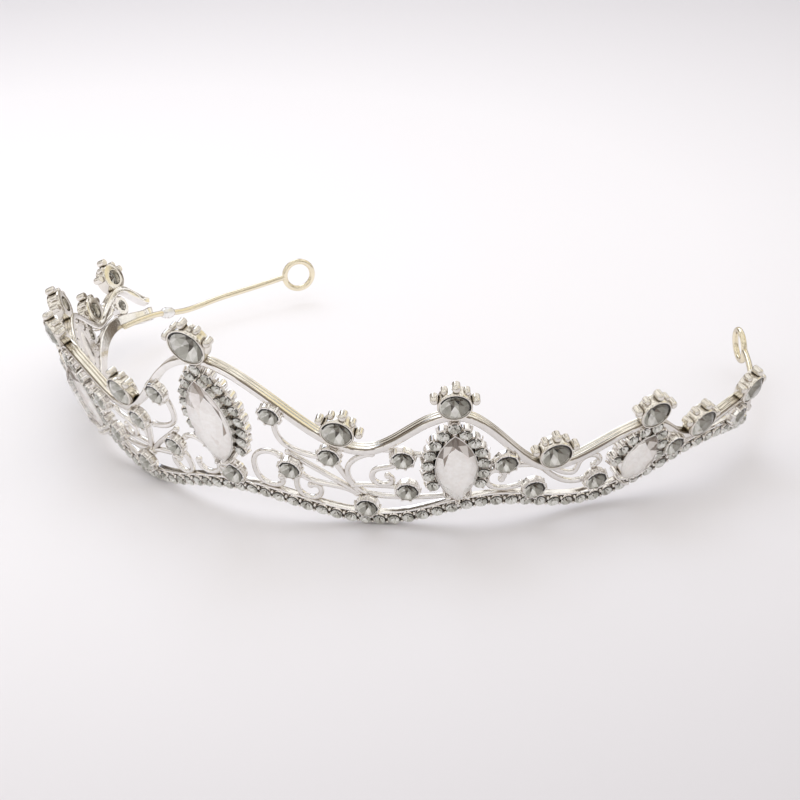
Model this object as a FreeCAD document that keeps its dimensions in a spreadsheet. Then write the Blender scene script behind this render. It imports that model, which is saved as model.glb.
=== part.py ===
"""Bridal tiara: a cast and pronged comb-less headpiece on two bent end wires.

Frame: millimetres, +Z up.  The origin lies on the resting plane, under the
middle of the whole piece.  The front faces -Y, and the open side between the two
wire eyes faces +Y.

Every ornament sits on one leaning wall.  A place on that wall is written as
(along, up): along is the arc length of the wall's foot line from the middle,
positive towards +X, and up is the distance climbed on the wall.
"""
import FreeCAD
import Part
import Sketcher
import math
import os

Vector = FreeCAD.Vector

SIZES = [
    ("front_radius", 65.0, "plan radius of the front of the wall"),
    ("front_arc", 72.0, "arc length of the front radius, each side of the middle"),
    ("side_radius", 50.0, "plan radius of the two sides"),
    ("foot_height", 1.9, "height of the wall's foot line above the resting plane"),
    ("front_reach", 39.09, "from the origin forwards to the foot line's front point"),
    ("front_lean", 20.5, "outward lean of the wall at the middle, degrees"),
    ("lean_gain", 7.8, "extra lean per (100 mm along) squared, degrees"),
    ("rail_tall", 2.5, "base rail, size up the wall"),
    ("rail_deep", 1.3, "base rail, size through the wall"),
    ("crest_tall", 1.3, "crest rail, size up the wall"),
    ("crest_deep", 2.0, "crest rail, size through the wall"),
    ("frame_end", 97.5, "arc length where the rails end"),
    ("pave_radius", 1.02, "radius of the small flat-backed stones"),
    ("pave_pitch", 2.47, "spacing of the small stones"),
    ("cup_wall", 0.35, "wall of a stone cup beyond its stone"),
    ("cup_deep", 2.2, "depth of a crown cup behind the stone's girdle"),
    ("side_cup_deep", 1.6, "depth of a small stone cup behind the girdle"),
    ("crown_out", 1.4, "how far a crown stone's girdle stands off the wall"),
    ("side_out", 1.7, "how far a small cup's girdle stands off the wall"),
    ("post_radius", 0.72, "radius of a crown's posts"),
    ("post_long", 2.05, "length of a crown's posts"),
    ("post_gap", 0.62, "from a cup's outside to a post's axis"),
    ("post_rise", 0.25, "height of a post's front end above the girdle"),
    ("lobe_radius", 0.6, "radius of the lobes between the posts"),
    ("lobe_long", 1.65, "length of the lobes between the posts"),
    ("lobe_gap", 0.05, "from a cup's outside to a lobe's axis"),
    ("lobe_rise", -0.35, "height of a lobe's front end above the girdle"),
    ("peak_stone_0", 3.4, "stone radius, centre crown"),
    ("peak_stone_1", 2.5, "stone radius, inner crowns"),
    ("peak_stone_2", 2.6, "stone radius, outer crowns"),
    ("peak_stone_3", 2.5, "stone radius, end crowns"),
    ("valley_stone", 2.6, "stone radius, crowns in the dips"),
    ("side_stone", 1.75, "stone radius, small cups"),
    ("drop_stone", 2.1, "stone radius under the centre navette"),
    ("navette_long_0", 18.4, "length of the centre navette"),
    ("navette_wide_0", 8.0, "width of the centre navette"),
    ("navette_long_1", 15.0, "length of the inner navettes"),
    ("navette_wide_1", 7.0, "width of the inner navettes"),
    ("navette_long_2", 10.0, "length of the outer navettes"),
    ("navette_wide_2", 6.2, "width of the outer navettes"),
    ("navette_lift_0", 1.3, "height of the centre navette's gallery above its back frame"),
    ("navette_lift_1", 0.4, "height of the inner navettes' galleries"),
    ("navette_lift_2", 0.4, "height of the outer navettes' galleries"),
    ("navette_dome", 2.4, "height of a navette above its back"),
    ("plate_thick", 1.1, "thickness of a navette's back frame"),
    ("plate_rim", 0.4, "back frame beyond the navette's outline"),
    ("plate_band", 1.2, "back frame inside the navette's outline"),
    ("gallery_rim", 0.15, "gallery beyond the navette's outline"),
    ("halo_gap", 1.25, "from a navette's outline to the halo stones"),
    ("halo_wall", 0.13, "wall of a halo cup beyond its stone"),
    ("halo_rise", 0.5, "height of the halo cups above the back frame"),
    ("claw_radius", 0.55, "radius of a navette's claws"),
    ("claw_rise", 1.32, "height of a navette's claws above its gallery"),
    ("claw_gap", 0.15, "from a navette's lower tip to the claw below it"),
    ("strand_radius", 0.5, "radius of the scroll strands"),
    ("strand_ball", 0.62, "radius of the round ends of the scroll strands"),
    ("wire_radius", 0.58, "radius of the end wires"),
    ("eye_radius", 2.95, "radius of a wire eye, to the wire's centre"),
    ("eye_height", 6.0, "height of a wire eye's centre above the resting plane"),
    ("wire_end", 131.6, "arc length of a wire eye's centre"),
    ("sleeve_radius", 1.2, "outside radius of a solder sleeve"),
    ("sleeve_long", 3.6, "length of a solder sleeve"),
    ("sleeve_lead", 0.6, "from the frame's end to a solder sleeve"),
    ("fit_gap", 0.03, "clearance between a stone and its seat"),
]

# Turning points of the two rails on the wall, middle to end: (along, up).
RAIL_TURNS = [(0.0, 4.0), (25.0, -0.5), (43.5, 3.1), (60.0, 0.3), (84.0, 6.6), (97.5, 4.6)]
CREST_TURNS = [
    (0.0, 32.4), (23.6, 15.3), (38.0, 23.1), (53.5, 9.2),
    (69.5, 14.9), (79.0, 9.0), (91.0, 12.1), (97.5, 6.9),
]

# Crowns: name, along, up, stone size, turn on the wall in degrees.
PEAK_CROWNS = [
    ("centre", 0.0, 36.15, "peak_stone_0", 0.0),
    ("inner", 38.2, 26.2, "peak_stone_1", 0.0),
    ("outer", 69.5, 17.95, "peak_stone_2", 0.0),
    ("end", 91.2, 14.8, "peak_stone_3", 0.0),
]
VALLEY_CROWNS = [
    ("inner", 20.4, 20.0, "valley_stone", -25.0),
    ("outer", 53.6, 12.6, "valley_stone", 0.0),
    ("end", 80.3, 11.7, "valley_stone", 0.0),
]

# Navettes: name, along, up, size number, turn in degrees, halo stones down the side
# nearer the middle and down the other side, and how far towards the lower tip the
# side claws stand, as a share of the way.
NAVETTES = [
    ("centre", 0.0, 20.3, 0, 0.0, (8, 8), 0.9),
    ("inner", 38.0, 12.05, 1, 0.0, (6, 6), 0.75),
    ("outer", 68.4, 8.35, 2, -24.0, (4, 3), 0.75),
]

# Small cups: (along, up), the same on both sides of the middle.
SIDE_CUPS = [
    (10.3, 23.0), (11.3, 10.7), (18.4, 14.6), (29.9, 14.4), (30.1, 6.9),
    (45.8, 12.3), (61.2, 4.9), (75.2, 8.6),
]
# Cups that stand on the base rail: along, the same on both sides.
FOOT_CUPS = [23.1, 50.5, 90.3]

# Scroll strands on the right half: name and the points each one passes through.
STRANDS = [
    ("swoop", [(10.2, 20.7), (9.8, 18.4), (10.4, 15.8), (12.5, 14.0), (16.4, 13.0)]),
    ("diagonal", [(11.0, 13.4), (13.5, 11.4), (16.9, 8.8), (21.5, 4.9)]),
    ("drop", [(18.6, 12.2), (19.9, 8.9), (21.9, 5.0)]),
    ("centre_scroll", [(9.3, 12.3), (6.6, 12.9), (4.5, 11.3), (3.8, 8.7), (4.2, 6.2),
                       (5.9, 5.1), (8.1, 5.5), (8.4, 7.2)]),
    ("rail_curl", [(11.9, 8.4), (11.0, 6.2), (11.3, 4.0), (13.0, 3.0), (14.8, 3.9),
                   (15.0, 5.7), (13.5, 6.0)]),
    ("tie", [(12.4, 8.3), (14.8, 6.9), (17.4, 6.4), (21.3, 4.8)]),
    ("wide_loop", [(24.9, 14.3), (22.3, 13.1), (20.6, 10.8), (20.6, 8.0), (22.4, 5.4),
                   (26.4, 4.3), (31.5, 4.1), (36.6, 4.2)]),
    ("stem", [(21.0, 6.8), (24.6, 6.9), (28.3, 6.6)]),
    ("inner_curl", [(28.9, 12.3), (27.4, 11.3), (25.1, 10.5), (24.4, 8.5), (25.8, 7.2),
                    (27.6, 7.9), (27.0, 9.2)]),
    ("bridge", [(25.6, 15.2), (28.0, 15.2), (31.8, 14.2), (33.2, 14.0)]),
    ("outer_curl", [(45.3, 7.2), (45.4, 9.0), (43.9, 9.4), (42.9, 7.9), (43.4, 5.9),
                    (45.6, 5.0), (48.7, 5.6)]),
    ("outer_band", [(42.8, 12.0), (46.6, 10.4), (50.0, 9.9), (52.8, 9.2)]),
    ("return_band", [(52.0, 8.8), (54.2, 6.2), (56.8, 4.5), (59.6, 4.3)]),
    ("return_curl", [(53.6, 9.0), (55.6, 7.0), (57.6, 6.6), (58.4, 8.8), (60.3, 9.9),
                     (61.9, 8.6), (61.0, 7.2)]),
    ("tail_curl", [(76.7, 9.4), (80.0, 8.3), (83.6, 8.6), (86.4, 9.6), (85.6, 11.0),
                   (83.9, 10.6)]),
]

SIDES = [("right", 1), ("left", -1)]

POST_ANGLES = (15.0, 90.0, 165.0)
LOBE_ANGLES = (52.0, 128.0)


def make_sheet(doc):
    """Write the driving dimensions into a spreadsheet, one alias each."""
    sheet = doc.addObject("Spreadsheet::Sheet", "sizes")
    for row, (alias, value, note) in enumerate(SIZES, start=1):
        sheet.set("A%d" % row, note)
        sheet.set("B%d" % row, str(value))
        sheet.setAlias("B%d" % row, alias)
    doc.recompute()
    return sheet


doc = FreeCAD.newDocument("bridal_tiara")
sheet = make_sheet(doc)


def size(alias):
    """The value of one cell, in millimetres or degrees."""
    return float(sheet.get(alias))


# ---------------------------------------------------------------- the wall

def heading(along):
    """Plan direction of the foot line: a front arc, then tighter side arcs."""
    reach = abs(along)
    turned = min(reach, size("front_arc")) / size("front_radius")
    turned += max(reach - size("front_arc"), 0.0) / size("side_radius")
    return math.copysign(turned, along)


def foot(along):
    """Point of the foot line in plan."""
    reach = abs(along)
    front = size("front_radius")
    side = size("side_radius")
    corner = size("front_arc") / front
    turned = abs(heading(along))
    first = min(turned, corner)
    x = front * math.sin(first)
    y = front * (1.0 - math.cos(first))
    if reach > size("front_arc"):
        x += side * (math.sin(turned) - math.sin(corner))
        y += side * (math.cos(corner) - math.cos(turned))
    return Vector(math.copysign(x, along), y - size("front_reach"), size("foot_height"))


def wall_axes(along):
    """Unit vectors of the wall: along it, up it and out of its front face."""
    turned = heading(along)
    lean = math.radians(size("front_lean") + size("lean_gain") * (along / 100.0) ** 2)
    level = Vector(math.sin(turned), -math.cos(turned), 0.0)
    tangent = Vector(math.cos(turned), math.sin(turned), 0.0)
    upward = level * math.sin(lean) + Vector(0.0, 0.0, math.cos(lean))
    return tangent, upward, tangent.cross(upward)


def wall(along, up, out=0.0):
    """Point on the wall, moved out of its front face by out."""
    upward, outward = wall_axes(along)[1:]
    return foot(along) + upward * up + outward * out


def on_wall(along, up, out=0.0, turn=0.0):
    """Placement whose X runs along the wall, Y up it and Z out of it."""
    tangent, upward, outward = wall_axes(along)
    rotation = FreeCAD.Rotation(tangent, upward, outward, "XYZ")
    spin = FreeCAD.Rotation(Vector(0, 0, 1), turn)
    return FreeCAD.Placement(wall(along, up, out), rotation.multiply(spin))


def rail_up(turns, along):
    """Height of a rail between its turning points, eased like a cosine."""
    reach = abs(along)
    for (a0, u0), (a1, u1) in zip(turns, turns[1:]):
        if reach <= a1:
            part = (reach - a0) / (a1 - a0)
            return u0 + (u1 - u0) * (1.0 - math.cos(math.pi * part)) / 2.0
    return turns[-1][1]


# ---------------------------------------------------------------- bookkeeping

NODES = []


def add_shape(label, shape):
    """Keep a ready-made shape as a node of its own."""
    node = doc.addObject("Part::Feature", label)
    node.Label = label
    node.Shape = shape
    NODES.append(node)
    return node


def new_body(label):
    """Start a PartDesign body that becomes a node."""
    body = doc.addObject("PartDesign::Body", label)
    body.Label = label
    NODES.append(body)
    return body


def new_sketch(body, name, role, lift=0.0):
    """A sketch on one of the body's own origin planes, lifted along its normal."""
    sketch = body.newObject("Sketcher::SketchObject", name)
    plane = [f for f in body.Origin.OriginFeatures if f.Role == role][0]
    sketch.AttachmentSupport = [(plane, "")]
    sketch.MapMode = "FlatFace"
    sketch.AttachmentOffset = FreeCAD.Placement(Vector(0, 0, lift), FreeCAD.Rotation())
    return sketch


def evaluate(formula):
    """The value of a formula on the sheet, as a plain number."""
    value = sheet.evalExpression(formula)
    return float(getattr(value, "Value", value))


def bind(sketch, constraint, name, formula):
    """Add a constraint and let the sheet drive its value."""
    index = sketch.addConstraint(constraint)
    sketch.renameConstraint(index, name)
    sketch.setExpression("Constraints." + name, formula)


def pin_point(sketch, geometry, point, name, x, y):
    """Fix a sketch point by two formulas, measured from the sketch's origin."""
    for kind, formula, axis in (("DistanceX", x, -2), ("DistanceY", y, -1)):
        value = evaluate(formula)
        if abs(value) < 1e-9:
            sketch.addConstraint(Sketcher.Constraint("PointOnObject", geometry, point, axis))
        else:
            constraint = Sketcher.Constraint(kind, -1, 1, geometry, point, value)
            bind(sketch, constraint, name + kind[-1].lower(), formula)


def draw_polygon(sketch, corners):
    """A closed polygon whose corners are pairs of formulas on the sheet."""
    spots = [Vector(evaluate(x), evaluate(y), 0) for x, y in corners]
    count = len(spots)
    for i in range(count):
        sketch.addGeometry(Part.LineSegment(spots[i], spots[(i + 1) % count]), False)
    for i in range(count):
        sketch.addConstraint(Sketcher.Constraint("Coincident", i, 2, (i + 1) % count, 1))
    for i, (x, y) in enumerate(corners):
        pin_point(sketch, i, 1, "corner%d" % i, x, y)


def draw_circle(sketch, number, x, y, radius):
    """A circle whose centre and radius are formulas on the sheet."""
    centre = Vector(evaluate(x), evaluate(y), 0)
    circle = Part.Circle(centre, Vector(0, 0, 1), evaluate(radius))
    index = sketch.addGeometry(circle, False)
    pin_point(sketch, index, 3, "centre%d" % number, x, y)
    constraint = Sketcher.Constraint("Radius", index, evaluate(radius))
    bind(sketch, constraint, "radius%d" % number, radius)


def revolve(body, sketch):
    """Turn a profile once round the body's Z axis."""
    turned = body.newObject("PartDesign::Revolution", "turned")
    turned.Profile = sketch
    turned.ReferenceAxis = (sketch, ["V_Axis"])
    turned.Angle = 360.0
    sketch.Visibility = False
    return turned


def pad(body, sketch, name, formula):
    """Raise a sketch by a length bound to the sheet."""
    raised = body.newObject("PartDesign::Pad", name)
    raised.Profile = sketch
    raised.Length = evaluate(formula)
    raised.setExpression("Length", formula)
    return raised


# ---------------------------------------------------------------- round stones and cups

GIRDLE_SHARE = 0.04     # half the girdle's thickness, as a share of the radius
TABLE_SHARE = 0.55      # table radius
CROWN_SHARE = 0.34      # height of the table above the girdle's middle
CULET_SHARE = 0.10      # radius left at the stone's point
POINT_SHARE = 0.66      # depth of the point
BORE_SHARE = 0.60       # open back of a cup

# A flat-backed stone's half section: (radius, height), as shares of its radius.
FLAT_STONE = [(0.0, 0.0), (0.85, 0.0), (1.0, 0.25), (1.0, 0.35), (0.55, 0.75), (0.0, 0.75)]


def cup_corners(stone, deep):
    """Half section of a cup: (radius, height) formulas, girdle at height 0."""
    outer = "%s + sizes.cup_wall" % stone
    seat = "%s + sizes.fit_gap" % stone
    bore = "%g * %s" % (BORE_SHARE, stone)
    edge = "-%g * %s - sizes.fit_gap" % (GIRDLE_SHARE, stone)
    slope = (1.0 - BORE_SHARE) * (POINT_SHARE - GIRDLE_SHARE) / (1.0 - CULET_SHARE)
    foot_of_seat = "-%g * %s - sizes.fit_gap" % (GIRDLE_SHARE + slope, stone)
    lip = "%g * %s" % (2.0 * GIRDLE_SHARE, stone)
    return [
        (bore, "-" + deep), (outer, "-" + deep), (outer, lip),
        (seat, lip), (seat, edge), (bore, foot_of_seat),
    ]


def stone_corners(stone):
    """Half section of a pointed round stone, girdle at height 0."""
    share = [
        (0.0, CROWN_SHARE), (TABLE_SHARE, CROWN_SHARE), (1.0, GIRDLE_SHARE),
        (1.0, -GIRDLE_SHARE), (CULET_SHARE, -POINT_SHARE), (0.0, -POINT_SHARE),
    ]
    return [("%g * %s" % (x, stone), "%g * %s" % (z, stone)) for x, z in share]


def flat_stone_corners(stone):
    """Half section of a flat-backed stone that rests on height 0."""
    return [("%g * %s" % (x, stone), "%g * %s" % (z, stone)) for x, z in FLAT_STONE]


def spun(corners):
    """The solid swept by a half section about the Z axis."""
    spots = [Vector(evaluate(x), 0.0, evaluate(z)) for x, z in corners]
    face = Part.Face(Part.makePolygon(spots + spots[:1]))
    return face.revolve(Vector(0, 0, 0), Vector(0, 0, 1), 360.0)


def copies(shape, placements):
    """A compound holding one copy of a solid at each placement."""
    solids = []
    for placement in placements:
        solid = shape.copy()
        solid.Placement = placement
        solids.append(solid)
    return Part.makeCompound(solids)


def make_crown(label, along, up, stone, turn):
    """A crown: one deep cup ringed by three round posts and two lobes."""
    stone = "sizes." + stone
    body = new_body(label)
    section = new_sketch(body, "cup_section", "XZ_Plane")
    draw_polygon(section, cup_corners(stone, "sizes.cup_deep"))
    revolve(body, section)
    for kind, angles in (("post", POST_ANGLES), ("lobe", LOBE_ANGLES)):
        reach = "(%s + sizes.cup_wall + sizes.%s_gap)" % (stone, kind)
        ring = new_sketch(body, kind + "_ring", "XY_Plane")
        lift = "sizes.%s_rise - sizes.%s_long" % (kind, kind)
        ring.setExpression("AttachmentOffset.Base.z", lift)
        for number, angle in enumerate(angles):
            x = "%s * cos(%g deg)" % (reach, angle)
            y = "%s * sin(%g deg)" % (reach, angle)
            draw_circle(ring, number, x, y, "sizes.%s_radius" % kind)
        pad(body, ring, kind + "s", "sizes.%s_long" % kind)
    body.Placement = on_wall(along, up, size("crown_out"), turn)


def make_crowns():
    """Every crown as its own body, and the stones that sit in them."""
    stone_spots = {"peak": [], "valley": []}
    for kind, crowns in (("peak", PEAK_CROWNS), ("valley", VALLEY_CROWNS)):
        for name, along, up, stone, turn in crowns:
            shape = spun(stone_corners("sizes." + stone))
            for side, sign in SIDES[:1] if along == 0 else SIDES:
                label = "%s_crown_%s" % (kind, name)
                if along:
                    label += "_" + side
                make_crown(label, sign * along, up, stone, sign * turn)
                spot = on_wall(sign * along, up, size("crown_out"), sign * turn)
                stone_spots[kind].append(copies(shape, [spot]).Solids[0])
    for kind, solids in stone_spots.items():
        add_shape(kind + "_crown_stones", Part.makeCompound(solids))


def make_small_cups():
    """Small stone cups between the rails, those on the base rail and their stones."""
    side_spots = []
    for along, up in SIDE_CUPS:
        side_spots += [on_wall(s * along, up, size("side_out")) for s in (1, -1)]
    reach = (size("side_stone") + size("cup_wall") + size("rail_tall") / 2.0)
    foot_spots = []
    for along in FOOT_CUPS:
        up = rail_up(RAIL_TURNS, along) + reach
        foot_spots += [on_wall(s * along, up, size("side_out")) for s in (1, -1)]
    for name, spots in (("side", side_spots), ("foot", foot_spots)):
        cup = spun(cup_corners("sizes.side_stone", "sizes.side_cup_deep"))
        stone = spun(stone_corners("sizes.side_stone"))
        add_shape(name + "_cups", copies(cup, spots))
        add_shape(name + "_stones", copies(stone, spots))
    drop_up = (RAIL_TURNS[0][1] + size("rail_tall") / 2.0
               + size("drop_stone") + size("cup_wall"))
    spot = on_wall(0.0, drop_up, size("side_out"))
    for name, corners in (
            ("drop_cup", cup_corners("sizes.drop_stone", "sizes.side_cup_deep")),
            ("drop_stone", stone_corners("sizes.drop_stone"))):
        add_shape(name, copies(spun(corners), [spot]).Solids[0])


# ---------------------------------------------------------------- navettes

# Sections of a navette stone: name, share of its height, share of its outline.
NAVETTE_CUT = [("back", 0.0, 0.88), ("girdle", 0.3, 1.0), ("table", 1.0, 0.5)]


def navette_terms(number):
    """Formulas of a pointed oval: half length, half width, side arc and its centre."""
    half_long = "(sizes.navette_long_%d / 2)" % number
    half_wide = "(sizes.navette_wide_%d / 2)" % number
    arc = "((%s ^ 2 + %s ^ 2) / (2 * %s))" % (half_long, half_wide, half_wide)
    centre = "(%s - %s)" % (arc, half_wide)
    return half_long, half_wide, arc, centre


def draw_navette(sketch, number, first, grow, scale=1.0):
    """A pointed oval of two arcs, moved outwards by grow and scaled."""
    arc, centre = navette_terms(number)[2:]
    radius = "%g * (%s + %s)" % (scale, arc, grow)
    offset = "%g * %s" % (scale, centre)
    bend = evaluate(radius)
    shift = evaluate(offset)
    tip = math.acos(shift / bend)
    up = Vector(0, 0, 1)
    right = Part.ArcOfCircle(Part.Circle(Vector(-shift, 0, 0), up, bend), -tip, tip)
    left = Part.ArcOfCircle(
        Part.Circle(Vector(shift, 0, 0), up, bend), math.pi - tip, math.pi + tip)
    for index, shape in ((first, right), (first + 1, left)):
        sketch.addGeometry(shape, False)
        sketch.addConstraint(Sketcher.Constraint("PointOnObject", index, 3, -1))
        bind(sketch, Sketcher.Constraint("Radius", index, bend), "bend%d" % index, radius)
    sketch.addConstraint(Sketcher.Constraint("Coincident", first, 2, first + 1, 1))
    sketch.addConstraint(Sketcher.Constraint("Coincident", first, 1, first + 1, 2))
    sketch.addConstraint(Sketcher.Constraint("PointOnObject", first, 2, -2))
    half = "sqrt((%s) ^ 2 - (%s) ^ 2)" % (radius, offset)
    constraint = Sketcher.Constraint("DistanceY", -1, 1, first, 2, evaluate(half))
    bind(sketch, constraint, "tip%d" % first, half)


def make_navette_stone(label, number, placement):
    """A domed navette: back, girdle and table outlines, lofted."""
    body = new_body(label)
    sections = []
    for name, share, scale in NAVETTE_CUT:
        sketch = new_sketch(body, name, "XY_Plane")
        back = "sizes.plate_thick / 2 + sizes.navette_lift_%d + sizes.fit_gap" % number
        formula = "%s + %g * sizes.navette_dome" % (back, share)
        sketch.setExpression("AttachmentOffset.Base.z", formula)
        draw_navette(sketch, number, 0, "0", scale)
        sections.append(sketch)
    loft = body.newObject("PartDesign::AdditiveLoft", "cut")
    loft.Profile = sections[0]
    loft.Sections = sections[1:]
    loft.Ruled = True
    body.Placement = placement


def halo_spots(number, counts):
    """Formulas of the halo cups' centres: one at the top, then those down each side."""
    arc, centre = navette_terms(number)[2:]
    ring = "(%s + sizes.halo_gap)" % arc
    spots = [("0", "sqrt(%s ^ 2 - %s ^ 2)" % (ring, centre))]
    for sign, count in zip(("-", ""), counts):
        for step in range(1, count + 1):
            turned = "%d rad * sizes.pave_pitch / %s" % (step, ring)
            angle = "(acos(%s / %s) - %s)" % (centre, ring, turned)
            x = "(%s * cos%s - %s)" % (ring, angle, centre)
            spots.append((sign + x, "%s * sin%s" % (ring, angle)))
    return spots


def claw_spots(number, share):
    """Formulas of the three claws that hold the lower half of a navette."""
    half_long, half_wide, arc, centre = navette_terms(number)
    reach = "(%s + sizes.claw_radius + sizes.fit_gap)" % arc
    low = "(-%g * acos(%s / %s))" % (share, centre, arc)
    x = "(%s * cos%s - %s)" % (reach, low, centre)
    y = "%s * sin%s" % (reach, low)
    tip = "-(%s + sizes.claw_radius + sizes.claw_gap)" % half_long
    return [("0", tip), (x, y), ("-" + x, y)]


def make_navette_setting(label, number, counts, share, placement):
    """A back frame and gallery with halo cups round them and claws at the lower end."""
    body = new_body(label)
    plate = new_sketch(body, "plate_outline", "XY_Plane")
    plate.setExpression("AttachmentOffset.Base.z", "-sizes.plate_thick / 2")
    draw_navette(plate, number, 0, "sizes.plate_rim")
    draw_navette(plate, number, 2, "(-sizes.plate_band)")
    pad(body, plate, "plate", "sizes.plate_thick")
    gallery = new_sketch(body, "gallery_outline", "XY_Plane")
    gallery.setExpression("AttachmentOffset.Base.z", "sizes.plate_thick / 2")
    draw_navette(gallery, number, 0, "sizes.gallery_rim")
    draw_navette(gallery, number, 2, "(-sizes.plate_band)")
    pad(body, gallery, "gallery", "sizes.navette_lift_%d" % number)
    halo = new_sketch(body, "halo_ring", "XY_Plane")
    halo.setExpression("AttachmentOffset.Base.z", "-sizes.plate_thick / 2")
    for index, (x, y) in enumerate(halo_spots(number, counts)):
        draw_circle(halo, index, x, y, "sizes.pave_radius + sizes.halo_wall")
    pad(body, halo, "halo_cups", "sizes.plate_thick + sizes.halo_rise")
    claws = new_sketch(body, "claw_feet", "XY_Plane")
    claws.setExpression("AttachmentOffset.Base.z", "-sizes.plate_thick / 2")
    for index, (x, y) in enumerate(claw_spots(number, share)):
        draw_circle(claws, index, x, y, "sizes.claw_radius")
    claw_long = "sizes.plate_thick + sizes.navette_lift_%d + sizes.claw_rise" % number
    pad(body, claws, "claws", claw_long)
    body.Placement = placement


def make_navettes():
    """The five navettes, each with its setting, its stone and its halo stones."""
    small = spun(flat_stone_corners("sizes.pave_radius"))
    for name, along, up, number, turn, counts, share in NAVETTES:
        for side, sign in SIDES[:1] if along == 0 else SIDES:
            ending = name if along == 0 else "%s_%s" % (name, side)
            placement = on_wall(sign * along, up, 0.0, sign * turn)
            here = counts[::sign]
            make_navette_setting("navette_setting_" + ending, number, here, share, placement)
            make_navette_stone("navette_stone_" + ending, number, placement)
            rest = size("plate_thick") / 2.0 + size("halo_rise") + size("fit_gap")
            spots = []
            for x, y in halo_spots(number, here):
                shift = FreeCAD.Placement(
                    Vector(evaluate(x), evaluate(y), rest), FreeCAD.Rotation())
                spots.append(placement.multiply(shift))
            add_shape("halo_stones_" + ending, copies(small, spots))


# ---------------------------------------------------------------- rails and strands

SECTION_STEP = 2.5      # spacing of the sections that make a rail
RUN_STEP = 0.05         # short step along the wall that gives a rail's direction


def rail_section(turns, along, tall, deep):
    """A rectangle square to a rail's run at one place along it."""
    here = wall(along, rail_up(turns, along))
    ahead = wall(along + RUN_STEP, rail_up(turns, along + RUN_STEP))
    behind = wall(along - RUN_STEP, rail_up(turns, along - RUN_STEP))
    run = (ahead - behind).normalize()
    outward = wall_axes(along)[2]
    across = outward.cross(run).normalize()
    out = run.cross(across)
    corners = []
    for a, b in ((1, 1), (1, -1), (-1, -1), (-1, 1)):
        corners.append(here + across * (a * tall / 2.0) + out * (b * deep / 2.0))
    return Part.makePolygon(corners + corners[:1])


def make_rail(label, turns, tall, deep):
    """A rectangular strip that follows its turning points from end to end."""
    count = int(round(2.0 * size("frame_end") / SECTION_STEP))
    places = [size("frame_end") * (2.0 * i / count - 1.0) for i in range(count + 1)]
    sections = [rail_section(turns, along, tall, deep) for along in places]
    add_shape(label, Part.makeLoft(sections, True, False))


def make_rail_stones():
    """The row of small stones on the base rail's front face."""
    small = spun(flat_stone_corners("sizes.pave_radius"))
    pitch = size("pave_pitch")
    rest = size("rail_deep") / 2.0 + size("fit_gap")
    count = int((size("frame_end") - size("pave_radius")) / pitch)
    places = [pitch * i for i in range(-count, count + 1)]
    spots = [on_wall(along, rail_up(RAIL_TURNS, along), rest) for along in places]
    add_shape("base_rail_stones", copies(small, spots))


def smooth_curve(points):
    """A smooth curve through the points."""
    curve = Part.BSplineCurve()
    curve.interpolate(points)
    return curve


def rod(points, radius):
    """A round rod along a smooth curve through the points."""
    curve = smooth_curve(points)
    run = curve.tangent(curve.FirstParameter)[0]
    profile = Part.Wire([Part.makeCircle(radius, points[0], run)])
    return Part.Wire([curve.toShape()]).makePipeShell([profile], True, False)


def make_strand(points):
    """One scroll strand: a round rod with a ball at each end, poles along the rod."""
    strand = rod(points, size("strand_radius"))
    curve = smooth_curve(points)
    for spot, place in ((points[0], curve.FirstParameter), (points[-1], curve.LastParameter)):
        ball = Part.makeSphere(size("strand_ball"), spot, curve.tangent(place)[0])
        strand = strand.fuse(ball)
    return strand.Solids[0]


def make_strands():
    """The scroll strands, each with its mirror image on the other half."""
    for name, points in STRANDS:
        paths = [[wall(sign * along, up) for along, up in points] for side, sign in SIDES]
        add_shape("strand_" + name, Part.makeCompound([make_strand(path) for path in paths]))


# ---------------------------------------------------------------- end wires

# Where an end wire lies against the back of the base rail: (along, up).
WIRE_LAP = [(86.0, 5.4), (91.0, 4.8), (97.5, 3.9)]
# Points of its free length: along, height above the resting plane, distance outside
# the foot line.
WIRE_RUN = [(104.0, 4.5, 0.4), (112.0, 4.6, 0.1), (120.0, 5.0, 0.0)]
SHOULDER_SHARE = 0.2    # sloping ends of a solder sleeve, as a share of its size


def level_point(along, height, outside):
    """A point at a height above the resting plane, outside the foot line."""
    turned = heading(along)
    level = Vector(math.sin(turned), -math.cos(turned), 0.0)
    spot = foot(along) + level * outside
    return Vector(spot.x, spot.y, height)


def make_end_wires():
    """Two round wires that carry on the curve of the frame and end in eyes."""
    radius = size("wire_radius")
    eye = size("eye_radius")
    behind = -(size("rail_deep") / 2.0 + radius)
    for side, sign in SIDES:
        end = sign * size("wire_end")
        centre = level_point(end, size("eye_height"), 0.0)
        turned = heading(end)
        tangent = Vector(math.cos(turned), math.sin(turned), 0.0)
        axis = Vector(math.sin(turned), -math.cos(turned), 0.0)
        path = [wall(sign * along, up, behind) for along, up in WIRE_LAP]
        path += [level_point(sign * along, height, out) for along, height, out in WIRE_RUN]
        path.append(centre - tangent * (sign * eye))
        ring = Part.makeTorus(eye, radius, centre, axis)
        add_shape("end_wire_" + side, rod(path, radius).fuse(ring).removeSplitter().Solids[0])
        make_sleeve("solder_sleeve_" + side, smooth_curve(path), path[len(WIRE_LAP) - 1])


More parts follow.
